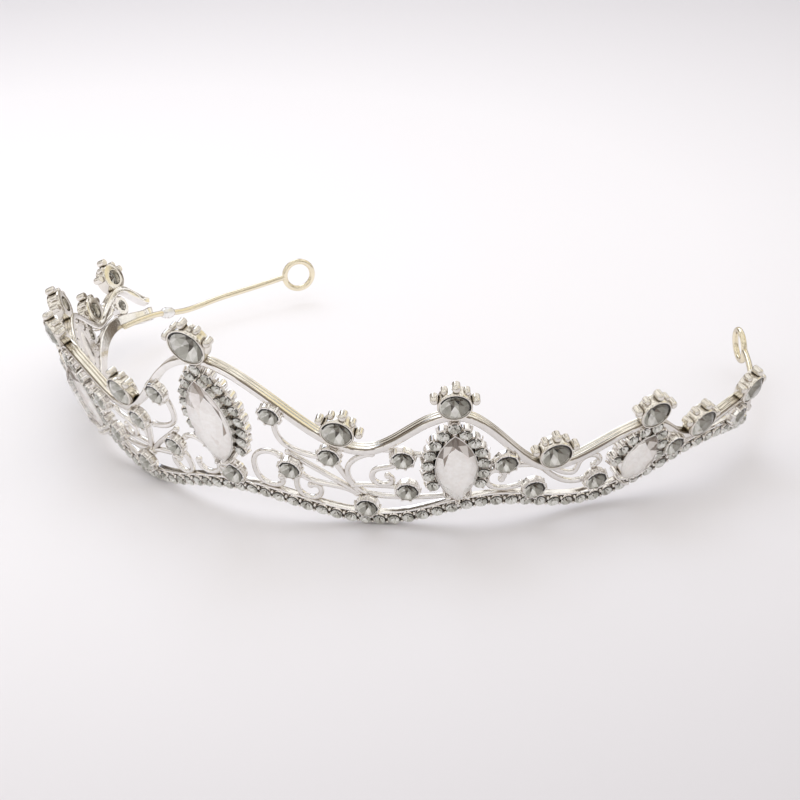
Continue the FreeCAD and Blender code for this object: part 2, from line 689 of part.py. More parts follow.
def make_sleeve(label, curve, root):
    """A short sleeve of solder round the wire, just past the frame's end."""
    body = new_body(label)
    section = new_sketch(body, "sleeve_section", "XZ_Plane")
    bore = "sizes.wire_radius + 2 * sizes.fit_gap"
    outer = "sizes.sleeve_radius"
    small = "%g * sizes.sleeve_radius" % (1.0 - SHOULDER_SHARE)
    draw_polygon(section, [
        (bore, "0"), (small, "0"), (outer, "%g * sizes.sleeve_long" % SHOULDER_SHARE),
        (outer, "%g * sizes.sleeve_long" % (1.0 - SHOULDER_SHARE)),
        (small, "sizes.sleeve_long"), (bore, "sizes.sleeve_long"),
    ])
    revolve(body, section)
    half = size("sleeve_long") / 2.0
    middle = curve.parameterAtDistance(size("sleeve_lead") + half, curve.parameter(root))
    run = curve.tangent(middle)[0]
    turn = FreeCAD.Rotation(Vector(0, 0, 1), run)
    body.Placement = FreeCAD.Placement(curve.value(middle) - run * half, turn)


# ---------------------------------------------------------------- build, check and write

def check(node):
    """Stop if an object failed, or a node's shape is empty or broken."""
    for item in doc.Objects:
        if "Invalid" in item.State or "Error" in item.State:
            raise RuntimeError("%s did not compute: %s" % (item.Name, item.State))
    shape = node.Shape
    if shape.isNull() or not shape.isValid() or not shape.Solids:
        raise RuntimeError("%s has no valid solid" % node.Label)


def main():
    """Build every node and write one STEP file for each."""
    make_rail("base_rail", RAIL_TURNS, size("rail_tall"), size("rail_deep"))
    make_rail("crest_rail", CREST_TURNS, size("crest_tall"), size("crest_deep"))
    make_rail_stones()
    make_crowns()
    make_navettes()
    make_small_cups()
    make_strands()
    make_end_wires()
    doc.recompute()
    os.makedirs("parts", exist_ok=True)
    for node in NODES:
        check(node)
    for node in NODES:
        node.Shape.exportStep(os.path.join("parts", node.Label + ".step"))
    print("%d nodes written" % len(NODES))


main()
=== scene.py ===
import math

import bmesh
import bpy
import numpy as np
from mathutils import Matrix, Vector, noise


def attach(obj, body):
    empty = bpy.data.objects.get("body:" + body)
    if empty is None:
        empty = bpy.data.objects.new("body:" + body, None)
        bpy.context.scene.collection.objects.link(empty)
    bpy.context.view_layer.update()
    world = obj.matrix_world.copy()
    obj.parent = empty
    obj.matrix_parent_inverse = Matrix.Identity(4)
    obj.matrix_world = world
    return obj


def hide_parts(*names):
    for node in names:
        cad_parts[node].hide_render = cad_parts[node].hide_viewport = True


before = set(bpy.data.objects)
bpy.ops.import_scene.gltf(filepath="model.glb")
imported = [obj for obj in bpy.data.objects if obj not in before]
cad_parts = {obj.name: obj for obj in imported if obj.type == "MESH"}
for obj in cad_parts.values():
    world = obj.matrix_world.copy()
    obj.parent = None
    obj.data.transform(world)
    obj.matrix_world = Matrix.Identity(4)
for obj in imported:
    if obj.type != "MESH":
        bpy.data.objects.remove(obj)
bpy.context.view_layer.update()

MM = 0.001
UP = Vector((0.0, 0.0, 1.0))
WHITE = (1.0, 1.0, 1.0)
BLACK = (0.0, 0.0, 0.0)

# ---- reading the frame


def welded(node):
    """Corners and triangles of a CAD node, with doubled corners joined."""
    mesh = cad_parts[node].data
    mesh.calc_loop_triangles()
    corners = np.empty(len(mesh.vertices) * 3)
    mesh.vertices.foreach_get("co", corners)
    faces = np.empty(len(mesh.loop_triangles) * 3, dtype=np.int64)
    mesh.loop_triangles.foreach_get("vertices", faces)
    corners = np.round(corners.reshape(-1, 3), 6)
    points, index = np.unique(corners, axis=0, return_inverse=True)
    return points, index.reshape(-1)[faces].reshape(-1, 3)


def solids(node):
    """Each separate solid of a CAD node as (corners, triangles).

    Corners that share a triangle take the lowest of their labels until nothing changes.
    """
    points, faces = welded(node)
    label = np.arange(len(points))
    while True:
        before = label.copy()
        low = label[faces].min(axis=1)
        for k in range(3):
            np.minimum.at(label, faces[:, k], low)
        label = label[label]
        if (label == before).all():
            break
    groups = []
    for value in np.unique(label[faces[:, 0]]):
        mine = faces[label[faces[:, 0]] == value]
        used, index = np.unique(mine, return_inverse=True)
        groups.append((points[used], index.reshape(-1, 3)))
    return groups


def face_normals(points, faces):
    """Unit normals and areas of triangles."""
    a, b, c = (points[faces[:, k]] for k in range(3))
    cross = np.cross(b - a, c - a)
    twice = np.linalg.norm(cross, axis=1)
    keep = twice > SLIVER
    normals = np.zeros_like(cross)
    normals[keep] = cross[keep] / twice[keep, None]
    return normals, twice / 2.0


def largest_flat(points, faces):
    """Normal of a solid's largest flat face, and the corners on it."""
    normals, areas = face_normals(points, faces)
    alike = (normals @ normals.T) > SAME_WAY
    best = (alike * areas[None, :]).sum(axis=1).argmax()
    mine = alike[best]
    normal = (normals[mine] * areas[mine, None]).sum(axis=0)
    return normal / np.linalg.norm(normal), points[np.unique(faces[mine])]


def placement(spot, x, y, z):
    """Placement at a spot, with the directions of its three axes."""
    return Matrix.Translation(Vector(spot)) @ Matrix((x, y, z)).transposed().to_4x4()


def shifted(place, x=0.0, y=0.0, z=0.0):
    """A placement moved along its own axes."""
    return place @ Matrix.Translation((x, y, z))


def axes_frame(centre, out, up_hint):
    """Placement whose Z is out and whose Y is as near as possible to up_hint."""
    z = Vector(out).normalized()
    x = Vector(up_hint).cross(z).normalized()
    return placement(centre, x, z.cross(x), z)


def round_stone(points, faces, flat_backed):
    """Placement and radius of a round stone: Z out, origin at its girdle or flat back."""
    normal, disc = largest_flat(points, faces)
    middle = disc.mean(axis=0)
    out = -normal if flat_backed else normal
    offset = points - middle
    away = offset - np.outer(offset @ out, out)
    radius = float(np.linalg.norm(away, axis=1).max())
    if not flat_backed:
        middle = middle - out * TABLE_RISE * radius
    return axes_frame(middle, out, UP), radius


def stones_of(node, flat_backed=False):
    """Placement and radius of every round stone in a CAD node."""
    return [round_stone(points, faces, flat_backed) for points, faces in solids(node)]


def node_middle(node):
    """Mean of a CAD node's corners."""
    return Vector(welded(node)[0].mean(axis=0))


def nearest(spots, place):
    """The (placement, radius) pair whose origin is nearest to a place."""
    return min(spots, key=lambda spot: (spot[0].translation - place).length)


def navette_frame(node):
    """Placement, half length and half width of a navette: Y to its upper tip, Z out."""
    points, faces = solids(node)[0]
    normal, back = largest_flat(points, faces)
    out = Vector(-normal)
    spread = np.cov((points - points.mean(axis=0)).T)
    long_way = Vector(np.linalg.eigh(spread)[1][:, -1])
    if long_way.z < 0:
        long_way = -long_way
    place = axes_frame(back.mean(axis=0), out, long_way)
    local = np.array([place.inverted() @ Vector(p) for p in points])
    shift = (local.max(axis=0) + local.min(axis=0)) / 2.0
    half = (local.max(axis=0) - local.min(axis=0)) / 2.0
    return shifted(place, shift[0], shift[1]), float(half[1]), float(half[0])


def rail_frames(node, count):
    """Placements along a rail: X along its run, Y across it and upwards, Z out of the front."""
    points, faces = welded(node)
    normals = face_normals(points, faces)[0]
    bearing = np.arctan2(points[:, 0], -points[:, 1])
    corner = bearing[faces]
    limit = min(-bearing.min(), bearing.max()) - END_MARGIN
    middles = []
    fronts = []
    for angle in np.linspace(-limit, limit, count):
        side = np.array((math.cos(angle), math.sin(angle), 0.0))
        radial = np.array((math.sin(angle), -math.cos(angle), 0.0))
        cut = (corner.min(axis=1) <= angle) & (corner.max(axis=1) >= angle)
        marks = []
        for face in faces[cut]:
            reach = points[face] @ side
            for a, b in ((0, 1), (1, 2), (2, 0)):
                if reach[a] * reach[b] < 0.0:
                    share = reach[a] / (reach[a] - reach[b])
                    marks.append(points[face[a]] * (1.0 - share) + points[face[b]] * share)
        marks = np.array(marks)
        middles.append((marks.max(axis=0) + marks.min(axis=0)) / 2.0)
        facing = normals[cut]
        facing = facing[facing @ radial > FRONT_WAY]
        fronts.append(facing.mean(axis=0))
    places = []
    for i in range(count):
        run = middles[min(i + 1, count - 1)] - middles[max(i - 1, 0)]
        run = Vector(run).normalized()
        out = Vector(fronts[i])
        out = (out - run * out.dot(run)).normalized()
        places.append(placement(middles[i], run, out.cross(run), out))
    return places


SLIVER = 1e-14  # a thinner triangle gives no normal: twice its area, square metres
SAME_WAY = 0.9998  # cosine between the normals of triangles in one flat face
FRONT_WAY = 0.7  # cosine between a rail's front face and straight outwards, at least
END_MARGIN = 0.012  # how far short of a rail's ends its slices stop, radians

# ---- building meshes


def new_object(name, data):
    """A new object, linked into the scene."""
    thing = bpy.data.objects.new(name, data)
    bpy.context.scene.collection.objects.link(thing)
    return thing


class Build:
    """Corners and faces gathered for one piece; lengths go in as metres."""

    def __init__(self):
        self.corners = []
        self.faces = []
        self.slots = []
        self.tones = []

    def add(self, corners, faces, place=Matrix(), slot=0, tones=None):
        """Append a shape at a placement; slot is one material number or one per face."""
        first = len(self.corners)
        self.corners += [place @ Vector(corner) for corner in corners]
        self.faces += [[first + index for index in face] for face in faces]
        self.slots += slot if isinstance(slot, list) else [slot] * len(faces)
        self.tones += tones if tones else [MIDDLE_TONE] * len(faces)

    def piece(self, name, finish, materials, nodes, smooth=True):
        """Make the object, ride it on the body and stand it in for CAD nodes."""
        mesh = bpy.data.meshes.new(name)
        mesh.from_pydata(self.corners, [], self.faces)
        mesh.polygons.foreach_set("material_index", self.slots)
        mesh.polygons.foreach_set("use_smooth", [smooth] * len(self.faces))
        tone = mesh.attributes.new("tone", "FLOAT", "FACE")
        tone.data.foreach_set("value", self.tones)
        mesh.validate()
        tidy = bmesh.new()
        tidy.from_mesh(mesh)
        bmesh.ops.recalc_face_normals(tidy, faces=tidy.faces)
        tidy.to_mesh(mesh)
        tidy.free()
        if smooth:
            mesh.set_sharp_from_angle(angle=math.radians(SHARP_ANGLE))
        piece = new_object(name, mesh)
        for material in materials:
            mesh.materials.append(material)
        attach(piece, "root")
        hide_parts(*nodes)
        return piece


SHARP_ANGLE = 38.0  # edges sharper than this stay crisp, degrees
MIDDLE_TONE = 0.5  # tone of a face that is given none


def ring_faces(first, second, count):
    """Quads between two rings of corners, given by their first numbers."""
    faces = []
    for i in range(count):
        j = (i + 1) % count
        faces.append((first + i, first + j, second + j, second + i))
    return faces


def lathe(profile, count, swell=None):
    """A profile of (radius, height) turned about Z; radius 0 closes it with a point.

    swell changes a corner's radius, given that radius, its angle and its height.
    """
    corners = []
    faces = []
    starts = []
    for radius, height in profile:
        starts.append((len(corners), radius > 0.0))
        if radius > 0.0:
            for i in range(count):
                angle = 2.0 * math.pi * i / count
                here = swell(radius, angle, height) if swell else radius
                corners.append((here * math.cos(angle), here * math.sin(angle), height))
        else:
            corners.append((0.0, 0.0, height))
    for (a, a_ring), (b, b_ring) in zip(starts, starts[1:]):
        if a_ring and b_ring:
            faces += ring_faces(a, b, count)
        elif a_ring:
            faces += [(a + i, a + (i + 1) % count, b) for i in range(count)]
        elif b_ring:
            faces += [(a, b + (i + 1) % count, b + i) for i in range(count)]
    return corners, faces


def closed_lathe(profile, count, swell=None):
    """A closed ring-shaped profile turned about Z."""
    corners, faces = lathe(profile, count, swell)
    return corners, faces + ring_faces((len(profile) - 1) * count, 0, count)


def post_profile(radius, bottom, top):
    """Outline of a round post with a domed front end and an eased back end."""
    ease = EASE_SHARE * radius
    profile = [(0.0, bottom), (radius - ease, bottom), (radius, bottom + ease)]
    for step in range(DOME_STEPS):
        angle = 0.5 * math.pi * step / DOME_STEPS
        profile.append((radius * math.cos(angle), top - radius + radius * math.sin(angle)))
    return profile + [(0.0, top)]


def add_posts(build, place, post, count, angles, spot, lean=0.0):
    """Equal posts round a cup: each at a spot turned by an angle, leaning by lean degrees."""
    corners, faces = lathe(post_profile(*post), count)
    tilt = Matrix.Translation(spot) @ Matrix.Rotation(math.radians(lean), 4, "Y")
    for angle in angles:
        build.add(corners, faces, place @ Matrix.Rotation(angle, 4, "Z") @ tilt)


def bead_profile(radius, squash):
    """Outline of a bead centred on height 0; squash is its height against its width."""
    profile = []
    for step in range(BEAD_STEPS + 1):
        angle = math.pi * (step / BEAD_STEPS - 0.5)
        reach = radius * math.cos(angle) if 0 < step < BEAD_STEPS else 0.0
        profile.append((reach, squash * radius * math.sin(angle)))
    return profile


DOME_STEPS = 5  # corners up the domed end of a post
EASE_SHARE = 0.2  # eased edge of a post's back end, as a share of its radius
BEAD_STEPS = 6  # corners from the bottom of a bead to its top


def metres(pairs, lift=0.0):
    """Pairs of millimetres as metres, the second of each raised by lift."""
    return [(one * MM, other * MM + lift) for one, other in pairs]


def swept(places, outline):
    """An outline of (y, z) carried along placements, with both ends closed."""
    count = len(outline)
    corners = []
    faces = []
    for place in places:
        corners += [place @ Vector((0.0, y, z)) for y, z in outline]
    for k in range(len(places) - 1):
        faces += ring_faces(k * count, (k + 1) * count, count)
    faces.append(tuple(range(count)))
    faces.append(tuple(reversed(range((len(places) - 1) * count, len(places) * count))))
    return corners, faces


# ---- outlines


def circle_at(radius):
    """An outline function: a circle."""
    return lambda angle: (radius * math.cos(angle), radius * math.sin(angle))


def navette_arc(half_long, half_wide):
    """Radius of a pointed oval's two arcs, and how far their centres are from its axis."""
    arc = (half_long ** 2 + half_wide ** 2) / (2.0 * half_wide)
    return arc, arc - half_wide


def navette_at(half_long, half_wide, grow=0.0):
    """An outline function: a pointed oval of two arcs, moved outwards by grow."""
    arc, centre = navette_arc(half_long, half_wide)
    tip = math.sqrt((arc + grow) ** 2 - centre ** 2)

    def spot(angle):
        y = tip * math.sin(angle)
        x = math.sqrt(max((arc + grow) ** 2 - y * y, 0.0)) - centre
        side = math.cos(angle)
        if abs(side) < AT_TIP:
            return 0.0, y
        return math.copysign(max(x, 0.0), side), y

    return spot


def corners_round(outline, count, share, height, start=0.0, down=0.0):
    """Corners round an outline that is scaled by share and shifted down.

    start turns them on by that part of their spacing.
    """
    corners = []
    for i in range(count):
        x, y = outline(2.0 * math.pi * (i + start) / count)
        corners.append((share * x, share * y - down, height))
    return corners


AT_TIP = 1e-6  # cosine of an angle that counts as straight to a tip

# ---- stones

KITES = 8  # kite facets round a stone
TABLE_RISE = 0.34  # height of a round stone's table, as a share of its radius


def facets(outline, levels, tones, turn, flip):
    """One side of a cut stone from its girdle to its table or point.

    levels holds (share of the outline, height) for the girdle, the middle
    corners, the table and, where there is one, the point.  tones is a table as
    below, turn moves it round by whole kites, and flip turns the faces over.
    """
    kites, edges, stars, hearts = tones
    corners = corners_round(outline, 2 * KITES, *levels[0])
    corners += corners_round(outline, KITES, *levels[1], 0.5)
    corners += corners_round(outline, KITES, *levels[2])
    first_middle = 2 * KITES
    first_table = 3 * KITES
    faces = []
    shades = []
    for k in range(KITES):
        before = first_middle + (k - 1) % KITES
        after = first_middle + k
        top = first_table + k
        next_top = first_table + (k + 1) % KITES
        next_kite = 2 * (k + 1) % (2 * KITES)
        faces += [(2 * k, after, top, before), (2 * k, 2 * k + 1, after)]
        faces += [(2 * k + 1, next_kite, after), (after, next_top, top)]
        here = (k + turn) % KITES
        shades += [kites[here], edges[here], edges[(here + 1) % KITES], stars[here]]
    if len(levels) == 4:
        point = len(corners)
        corners.append((0.0, 0.0, levels[3][1]))
        for k in range(KITES):
            faces.append((first_table + k, first_table + (k + 1) % KITES, point))
            shades.append(hearts[(k + turn) % KITES])
    else:
        faces.append(tuple(range(first_table, first_table + KITES)))
        shades.append(hearts[0])
    if flip:
        faces = [tuple(reversed(face)) for face in faces]
    return corners, faces, shades


# Painted lightness of a stone's facets, standing in for the light and dark that each facet
# reflects (painted reflections and painted shade), one line each for the kites, the edges, the
# stars and the table or point.  A line goes round from the right: right, upper right, top,
# upper left, left, lower left, bottom, lower right.
FRONT_TONES = (
    (0.5, 0.25, 0.4, 1.0, 0.8, 0.95, 1.0, 0.45),
    (0.35, 0.1, 0.3, 0.85, 1.0, 0.6, 0.9, 0.2),
    (0.9, 0.3, 0.7, 0.5, 1.0, 0.4, 1.0, 0.6),
    (0.95,),
)
ROUND_TONES = (
    (0.5, 0.35, 0.6, 0.85, 0.75, 0.55, 1.0, 0.45),
    (0.35, 0.3, 0.5, 0.75, 0.9, 0.6, 0.85, 0.4),
    (0.1, 0.6, 0.05, 0.45, 0.95, 0.1, 0.7, 0.2),
    (0.2, 0.05, 0.35, 0.1, 0.45, 0.3, 0.6, 0.0),
)
SMALL_TONES = (
    (0.7, 0.5, 0.85, 1.0, 0.8, 1.0, 0.9, 0.7),
    (0.8, 0.55, 0.85, 0.9, 1.0, 0.8, 1.0, 0.6),
    (0.15, 0.8, 0.3, 0.95, 0.65, 1.0, 0.25, 0.85),
    (0.0, 0.9, 0.2, 1.0, 0.1, 0.7, 0.95, 0.3),
)
CENTRE_TONES = (
    (0.95, 0.85, 0.35, 0.85, 1.0, 1.0, 0.95, 1.0),
    (1.0, 0.6, 0.25, 0.45, 0.9, 1.0, 1.0, 0.95),
    (0.15, 0.1, 0.45, 0.8, 1.0, 0.75, 1.0, 0.3),
    (1.0,),
)
SIDE_TONES = (
    (0.95, 0.6, 0.15, 0.65, 1.0, 1.0, 0.95, 1.0),
    (0.8, 0.2, 0.1, 0.15, 0.8, 1.0, 1.0, 0.95),
    (0.85, 0.15, 0.35, 0.25, 1.0, 1.0, 0.9, 1.0),
    (1.0,),
)

ROUND_DEEP = 0.66  # depth of a round stone's point, as a share of its radius
RIM = 32  # corners round a stone's edge
RIM_THIN = 0.04 * MM  # gap between a stone and its seat, at the bottom
RIM_WIDE = 0.26 * MM  # the same gap at the top, for the larger stones
SMALL_RIM_WIDE = 0.17 * MM  # and for the smaller ones
UPPER_TURN = 0.35  # how far a band's upper half is turned clockwise, radians
UPPER_FROM = -0.05  # sine of the angle at which its upper half starts


def band_between(build, place, rings, tones):
    """A foiled band between two closed rings, each (outline, share, height, start, down).

    tones are those of its upper and lower half; where the upper half is darker, it is painted
    shade under the cup's lip.
    """
    corners = []
    for outline, *rest in rings:
        corners += corners_round(outline, RIM, *rest)
    shades = []
    for i in range(RIM):
        rise = math.sin(2.0 * math.pi * (i + 0.5) / RIM + UPPER_TURN)
        shades.append(tones[0] if rise > UPPER_FROM else tones[1])
    build.add(corners, ring_faces(0, RIM, RIM), place, 1, shades)


def cut_stone(build, outline, place, crown, back, tones, turn=0):
    """A faceted stone: glassy crown, foiled girdle and back."""
    corners, faces, shades = facets(outline, crown, FRONT_TONES, turn, False)
    build.add(corners, faces, place, 0, shades)
    corners, faces, shades = facets(outline, back, tones, turn, True)
    build.add(corners, faces, place, 1, shades)
    rings = (outline, *back[0]), (outline, *crown[0])
    band_between(build, place, rings, GIRDLE_TONES)


def add_round_stone(build, place, radius, turn, deep=ROUND_DEEP, tones=ROUND_TONES):
    """A pointed round stone, girdle at height 0, with a sliver above it whose upper half is
    painted dark as the shadow of its cup's lip.
    """
    edge = EDGE_SHARE * radius
    wide = RIM_WIDE if radius > SMALL_LIMIT else SMALL_RIM_WIDE
    inside = radius - 0.5 * (wide + RIM_THIN)
    down = 0.5 * (wide - RIM_THIN)
    seen = circle_at(inside)
    crown = [(1.0, edge)]
    crown += [(share, rise * radius) for share, rise in ROUND_CROWN]
    back = [(1.0, -edge)]
    back += [(share, -depth * deep * radius) for share, depth in ROUND_BACK]
    cut_stone(build, seen, shifted(place, y=-down), crown, back, tones, turn)
    full = circle_at(radius)
    inner = (seen, SLIVER_SHARE, edge + SLIVER_RISE * radius, 0.0, down)
    # Painted shadow: the sliver's upper half is dark, as the shadow of the cup's lip.
    band_between(build, place, ((full, 1.0, edge), inner), SLIVER_TONES)
    rings = (full, 1.0, -2.0 * edge), (full, 1.0, edge)
    band_between(build, place, rings, SEAT_TONES)


def make_round_stones(name, node, flat_backed=False):
    """All the round stones of a CAD node, cut with facets."""
    build = Build()
    for index, (place, radius) in enumerate(stones_of(node, flat_backed)):
        turn = 0 if radius > SMALL_LIMIT else (TURN_STEP * index) % KITES
        if flat_backed:
            seat = shifted(place, z=FLAT_GIRDLE * radius)
            add_round_stone(build, seat, radius, turn, FLAT_DEEP, SMALL_TONES)
        else:
            add_round_stone(build, place, radius, turn)
    build.piece(name, "grey_crystal", [GREY_CRYSTAL, GREY_FOIL], [node], smooth=False)


EDGE_SHARE = 0.04  # half the girdle's thickness, as a share of the radius
# Middle corners and table of a round stone: share of its outline, height as a share
# of its radius.
ROUND_CROWN = ((0.8, 0.2), (0.55, TABLE_RISE))
# Middle corners, ring round the point and the point itself: share of its outline,
# depth as a share of the point's depth.
ROUND_BACK = ((0.66, 0.48), (0.36, 0.8), (0.0, 1.0))
SLIVER_SHARE = 0.96  # inner ring of the sliver, as a share of the stone's outline
SLIVER_RISE = 0.02  # height of that ring above the girdle, as a share of the radius
# Tones of the upper and lower half of the girdle, the sliver and the seat's wall. Each upper
# half is painted darker as the shadow of the cup's lip, the sliver's darkest.
GIRDLE_TONES = (0.5, 0.9)
SLIVER_TONES = (0.0, 0.8)
SEAT_TONES = (0.2, 0.8)
SMALL_LIMIT = 1.6 * MM  # radius below which stones have a narrow rim and turned facets
TURN_STEP = 3  # kites by which each of them is turned from the one before
FLAT_GIRDLE = 0.3  # girdle of a flat-backed stone above its back, as a share of its radius
FLAT_DEEP = 0.52  # depth of its point, the same way
NAVETTE_DOME = 2.4 * MM
# Girdle, middle corners and table of a navette's two sides: share of its outline,
# height above its back as a share of its dome.
NAVETTE_CROWN = ((1.0, 0.34), (0.84, 0.76), (0.6, 1.0))
NAVETTE_BACK = ((1.0, 0.26), (0.68, 0.05), (0.54, -0.04))


def make_navette_stone(ending, tones):
    """A pointed-oval stone with a long table in front and another behind."""
    node = "navette_stone_" + ending
    place, half_long, half_wide = navette_frame(node)
    outline = navette_at(half_long, half_wide)
    build = Build()
    crown = [(share, rise * NAVETTE_DOME) for share, rise in NAVETTE_CROWN]
    back = [(share, rise * NAVETTE_DOME) for share, rise in NAVETTE_BACK]
    cut_stone(build, outline, place, crown, back, tones)
    looks = [CLEAR_CRYSTAL, CLEAR_FOIL]
    build.piece("navette_cut_" + ending, "clear_crystal", looks, [node], smooth=False)


# ---- crowns

CUP_WALL = 0.35 * MM  # wall of a crown's cup beyond its stone
CUP_DEEP = 2.2 * MM  # depth of a crown's cup behind the girdle
BORE_SHARE = 0.6  # open back of any cup, as a share of its stone's radius
SEAT_SHARE = 0.42  # depth at which a cup's seat meets its bore, the same way
CUP_CORNERS = 48  # corners round a crown's cup
POST_CORNERS = 20  # corners round a post or lobe
# Posts and lobes round a crown: radius and the heights of both ends above the girdle,
# gap from the cup to the axis, and angles round the cup.
POSTS = ((0.72 * MM, -1.8 * MM, 0.25 * MM), 0.62 * MM, (15.0, 90.0, 165.0))
LOBES = ((0.6 * MM, -2.0 * MM, -0.35 * MM), 0.05 * MM, (52.0, 128.0))


def crown_cup(radius):
    """Half section of a crown's smooth cup, girdle of its stone at height 0."""
    outer = radius + CUP_WALL
    lip = 2.0 * EDGE_SHARE * radius
    return [
        (BORE_SHARE * radius, -CUP_DEEP),
        (outer - 0.3 * MM, -CUP_DEEP),
        (outer - 0.1 * MM, -CUP_DEEP + 0.08 * MM),
        (outer - 0.02 * MM, -CUP_DEEP + 0.3 * MM),
        (outer - 0.08 * MM, -0.55 * CUP_DEEP),
        (outer - 0.02 * MM, -0.25 * CUP_DEEP),
        (outer, -0.1 * MM),
        (outer - 0.03 * MM, lip),
        (outer - 0.12 * MM, lip + 0.1 * MM),
        (radius + 0.06 * MM, lip + 0.08 * MM),
        (radius + 0.03 * MM, lip - 0.05 * MM),
        (radius + 0.03 * MM, -0.1 * MM),
        (BORE_SHARE * radius, -SEAT_SHARE * radius),
    ]


def make_crown(node, stones):
    """A crown: one deep cup ringed by three round posts and two lobes."""
    place, radius = nearest(stones, node_middle(node))
    lean = node_middle(node) - place.translation
    out = place.to_3x3().col[2]
    place = axes_frame(place.translation, out, lean - out * lean.dot(out))
    build = Build()
    build.add(*closed_lathe(crown_cup(radius), CUP_CORNERS), place)
    for post, gap, degrees in (POSTS, LOBES):
        spot = (radius + CUP_WALL + gap, 0.0, 0.0)
        angles = [math.radians(angle) for angle in degrees]
        add_posts(build, place, post, POST_CORNERS, angles, spot)
    build.piece(node + "_cast", "silver_plate", [CAST_SILVER], [node])


def make_crowns():
    """The thirteen crowns and their stones."""
    for kind in ("peak", "valley"):
        stones = stones_of(kind + "_crown_stones")
        for node in sorted(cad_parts):
            if node.startswith(kind + "_crown_") and not node.endswith("stones"):
                make_crown(node, stones)
        make_round_stones(kind + "_crown_brilliants", kind + "_crown_stones")


# ---- small cups

SMALL_CUP_WALL = 0.3 * MM
SMALL_CUP_DEEP = 1.6 * MM
TEETH = 9  # teeth and flutes round a small cup
FLUTE_CORNERS = 6  # corners round one flute
FLUTE_DEPTH = 0.05 * MM
TOOTH = (0.24 * MM, -0.9 * MM, 0.36 * MM)  # radius, and heights of its two ends
TOOTH_INSET = 0.02 * MM  # from the cup's outside to a tooth's axis
TOOTH_LEAN = -9.0  # lean of a tooth over its stone, degrees
TOOTH_CORNERS = 10


def fluted(radius, angle, height):
    """A small cup's radius at an angle, waved by its flutes."""
    return radius + FLUTE_DEPTH * math.cos(TEETH * angle)


def toothed_cup(build, place, radius):
    """A fluted cup whose teeth stand up round the stone."""
    outer = radius + SMALL_CUP_WALL
    profile = [
        (BORE_SHARE * radius, -SMALL_CUP_DEEP),
        (outer - 0.35 * MM, -SMALL_CUP_DEEP),
        (outer - 0.12 * MM, -SMALL_CUP_DEEP + 0.18 * MM),
        (outer - 0.04 * MM, -0.5 * SMALL_CUP_DEEP),
        (outer, -0.05 * MM),
        (outer - 0.06 * MM, 0.12 * MM),
        (radius + 0.05 * MM, 0.14 * MM),
        (radius + 0.03 * MM, -0.08 * MM),
        (BORE_SHARE * radius, -SEAT_SHARE * radius),
    ]
    build.add(*closed_lathe(profile, FLUTE_CORNERS * TEETH, fluted), place)
    angles = [2.0 * math.pi * k / TEETH for k in range(TEETH)]
    spot = (outer - TOOTH_INSET, 0.0, 0.0)
    add_posts(build, place, TOOTH, TOOTH_CORNERS, angles, spot, TOOTH_LEAN)


def make_small_cups():
    """Toothed cups and their stones: between the rails, on the base rail, and the drop."""
    for cups, stones in (
            ("side_cups", "side_stones"), ("foot_cups", "foot_stones"),
            ("drop_cup", "drop_stone")):
        build = Build()
        for place, radius in stones_of(stones):
            toothed_cup(build, place, radius)
        build.piece(cups + "_toothed", "silver_plate", [SILVER], [cups])
        make_round_stones(stones + "_cut", stones)


# ---- navette settings

PLATE_HALF = 0.55 * MM  # half the thickness of a navette's back frame
HALO_TOP = 1.05 * MM  # top of a halo cup above the back frame's middle
HALO_RADIUS = 1.15 * MM
HALO_CORNERS = 24  # corners round a halo cup
HALO_PULL = 0.35  # an inner prong points at the axis this share of its cup's way up it
# Prongs of a halo cup: radius and heights of both ends, angles from its outer side,
# lean over the stone in degrees, and where their axes stand.
PRONG = (0.2 * MM, -1.2 * MM, 0.34 * MM)
PRONG_ANGLES = (-32.0, 32.0, 180.0)
PRONG_LEAN = -14.0
PRONG_REACH = 0.98  # as a share of the cup's radius
PRONG_RISE = 0.28 * MM  # above the cup's top
PRONG_CORNERS = 8
STONE_BACK = 0.58 * MM  # back of a navette above its frame's middle, gallery aside
HALO_REST = 1.08 * MM  # back of the halo stones above the frame's middle
CLAW_RADIUS = 0.55 * MM
CLAW_GAP = 0.15 * MM  # from a navette's lower tip to the claw below it
CLAW_SHARE = 0.75  # side claws, as a share of the way to the lower tip
CENTRE_CLAW_SHARE = 0.9  # the same for the centre navette
CLAW_CORNERS = 10  # corners round a claw
# A claw from its foot to its point, in millimetres: shift of its axis towards the
# stone's outside, height and radius.
CLAW_STATIONS = (
    (0.0, -0.55, 0.56), (0.02, 0.6, 0.54), (0.0, 1.3, 0.50), (-0.12, 1.85, 0.42),
    (-0.40, 2.25, 0.30), (-0.80, 2.45, 0.15), (-0.98, 2.48, 0.04),
)
CLAW_BEND = (1.3, 60.0)  # height where a claw starts to tilt, and degrees per millimetre
# Sections of the back frame and of the gallery: (distance beyond the navette's
# outline, height), both in millimetres.
FRAME_SECTION = (
    (-1.2, -0.55), (0.25, -0.55), (0.40, -0.40), (0.40, 0.40), (0.30, 0.55), (0.12, 0.60),
)
GALLERY_SECTION = (
    (0.15, 1.10), (0.15, 1.30), (0.06, 1.34), (0.02, 1.20), (-0.1, 0.5), (-1.2, 0.3),
)
OVAL_CORNERS = 72  # corners round the frame and gallery


def oval_band(build, place, outline_of, section):
    """A closed band round a pointed oval; section holds (grow, height) pairs."""
    count = OVAL_CORNERS
    corners = []
    faces = []
    for k, (grow, height) in enumerate(section):
        corners += corners_round(outline_of(grow), count, 1.0, height)
        faces += ring_faces(k * count, (k + 1) % len(section) * count, count)
    build.add(corners, faces, place)


